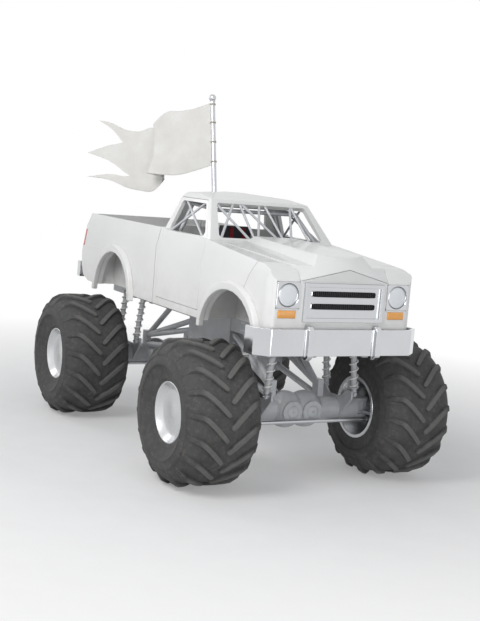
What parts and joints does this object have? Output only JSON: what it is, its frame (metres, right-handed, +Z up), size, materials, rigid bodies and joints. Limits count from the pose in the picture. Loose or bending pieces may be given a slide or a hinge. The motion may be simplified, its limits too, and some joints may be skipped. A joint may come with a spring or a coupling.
{
  "type": "monster truck",
  "caption": "Pickup-bodied monster truck on a high chassis, with huge lugged tyres that steer at both ends, opening doors, hood and tailgate, and a flag on a raked pole",
  "frame": {"origin": "on the ground, under the middle of the overall length and width", "axes": "+X forward, +Y to the truck's left, +Z up"},
  "size_m": [5.9, 3.57, 4.574],
  "materials": {
    "body_paint": "gloss",
    "chassis_paint": "satin",
    "cage_paint": "satin",
    "spring_paint": "gloss",
    "damper_steel": "brushed",
    "pole_steel": "brushed",
    "cast_case": "rough",
    "chrome_trim": "polished",
    "rim_metal": "satin",
    "tyre_rubber": "matte",
    "lamp_glass": "clear gloss",
    "tail_lamp_plastic": "gloss",
    "flare_plastic": "gloss",
    "dark_plastic": "matte",
    "seat_cover": "woven",
    "flag_cloth": "woven"
  },
  "bodies": {
    "chassis": {"frame": "chassis_paint", "front_axle": "chassis_paint", "rear_axle": "chassis_paint", "link_bars": "chassis_paint", "dampers": "damper_steel", "springs": "spring_paint", "transfer_case": "cast_case", "drive_shafts": "damper_steel", "engine": "cast_case", "cab": "body_paint", "bed": "body_paint", "fenders": "body_paint", "nose_panel": "body_paint", "grille": "chrome_trim", "front_lamps": "lamp_glass", "front_bumper": "chrome_trim", "rear_bumper": "chrome_trim", "wheel_flares": "flare_plastic", "tail_lamps": "tail_lamp_plastic", "roll_cage": "cage_paint", "seat": "seat_cover", "dashboard": "dark_plastic", "steering_wheel": "dark_plastic", "flag_pole": "pole_steel", "flag": "flag_cloth"},
    "hood": {"hood": "body_paint"},
    "door_left": {"door_left": "body_paint", "window_bars_left": "cage_paint"},
    "door_right": {"door_right": "body_paint", "window_bars_right": "cage_paint"},
    "tailgate": {"tailgate": "body_paint"},
    "tie_rod_front": {"tie_rod_front": "damper_steel"},
    "tie_rod_rear": {"tie_rod_rear": "damper_steel"},
    "knuckle_front_left": {"knuckle_front_left": "chassis_paint"},
    "wheel_front_left": {"rim_front_left": "rim_metal", "tyre_front_left": "tyre_rubber"},
    "knuckle_front_right": {"knuckle_front_right": "chassis_paint"},
    "wheel_front_right": {"rim_front_right": "rim_metal", "tyre_front_right": "tyre_rubber"},
    "knuckle_rear_left": {"knuckle_rear_left": "chassis_paint"},
    "wheel_rear_left": {"rim_rear_left": "rim_metal", "tyre_rear_left": "tyre_rubber"},
    "knuckle_rear_right": {"knuckle_rear_right": "chassis_paint"},
    "wheel_rear_right": {"rim_rear_right": "rim_metal", "tyre_rear_right": "tyre_rubber"}
  },
  "joints": [
    {"name": "steer_front_left", "type": "hinge", "parent": "chassis", "child": "knuckle_front_left", "pos_m": [2.044, 0.95, 0.838], "axis": [0, 0, 1], "range_deg": [-20, 20]},
    {"name": "spin_front_left", "type": "hinge", "parent": "knuckle_front_left", "child": "wheel_front_left", "pos_m": [2.044, 1.31, 0.838], "axis": [0, 1, 0], "continuous": true},
    {"name": "steer_front_right", "type": "hinge", "parent": "chassis", "child": "knuckle_front_right", "pos_m": [2.044, -0.95, 0.838], "axis": [0, 0, 1], "range_deg": [-20, 20]},
    {"name": "spin_front_right", "type": "hinge", "parent": "knuckle_front_right", "child": "wheel_front_right", "pos_m": [2.044, -1.31, 0.838], "axis": [0, 1, 0], "continuous": true},
    {"name": "steer_rear_left", "type": "hinge", "parent": "chassis", "child": "knuckle_rear_left", "pos_m": [-1.644, 0.95, 0.838], "axis": [0, 0, 1], "range_deg": [-20, 20]},
    {"name": "spin_rear_left", "type": "hinge", "parent": "knuckle_rear_left", "child": "wheel_rear_left", "pos_m": [-1.644, 1.31, 0.838], "axis": [0, 1, 0], "continuous": true},
    {"name": "steer_rear_right", "type": "hinge", "parent": "chassis", "child": "knuckle_rear_right", "pos_m": [-1.644, -0.95, 0.838], "axis": [0, 0, 1], "range_deg": [-20, 20]},
    {"name": "spin_rear_right", "type": "hinge", "parent": "knuckle_rear_right", "child": "wheel_rear_right", "pos_m": [-1.644, -1.31, 0.838], "axis": [0, 1, 0], "continuous": true},
    {"name": "tie_rod_pivot_front", "type": "hinge", "parent": "knuckle_front_left", "child": "tie_rod_front", "pos_m": [2.294, 0.95, 0.738], "axis": [0, 0, 1], "range_deg": [-20, 20]},
    {"name": "tie_rod_pivot_rear", "type": "hinge", "parent": "knuckle_rear_left", "child": "tie_rod_rear", "pos_m": [-1.394, 0.95, 0.738], "axis": [0, 0, 1], "range_deg": [-20, 20]},
    {"name": "door_left_hinge", "type": "hinge", "parent": "chassis", "child": "door_left", "pos_m": [1.152, 0.95, 2.24], "axis": [0, 0, -1], "range_deg": [0, 65]},
    {"name": "door_right_hinge", "type": "hinge", "parent": "chassis", "child": "door_right", "pos_m": [1.152, -0.95, 2.24], "axis": [0, 0, 1], "range_deg": [0, 65]},
    {"name": "hood_hinge", "type": "hinge", "parent": "chassis", "child": "hood", "pos_m": [1.227, 0, 2.718], "axis": [0, -1, 0], "range_deg": [0, 45]},
    {"name": "tailgate_hinge", "type": "hinge", "parent": "chassis", "child": "tailgate", "pos_m": [-2.677, 0, 2.078], "axis": [0, -1, 0], "range_deg": [0, 90]}
  ],
  "couplings": [
    {"joint": "steer_front_right", "follows": "steer_front_left", "ratio": 1},
    {"joint": "tie_rod_pivot_front", "follows": "steer_front_left", "ratio": -1},
    {"joint": "steer_rear_right", "follows": "steer_rear_left", "ratio": 1},
    {"joint": "tie_rod_pivot_rear", "follows": "steer_rear_left", "ratio": -1}
  ]
}
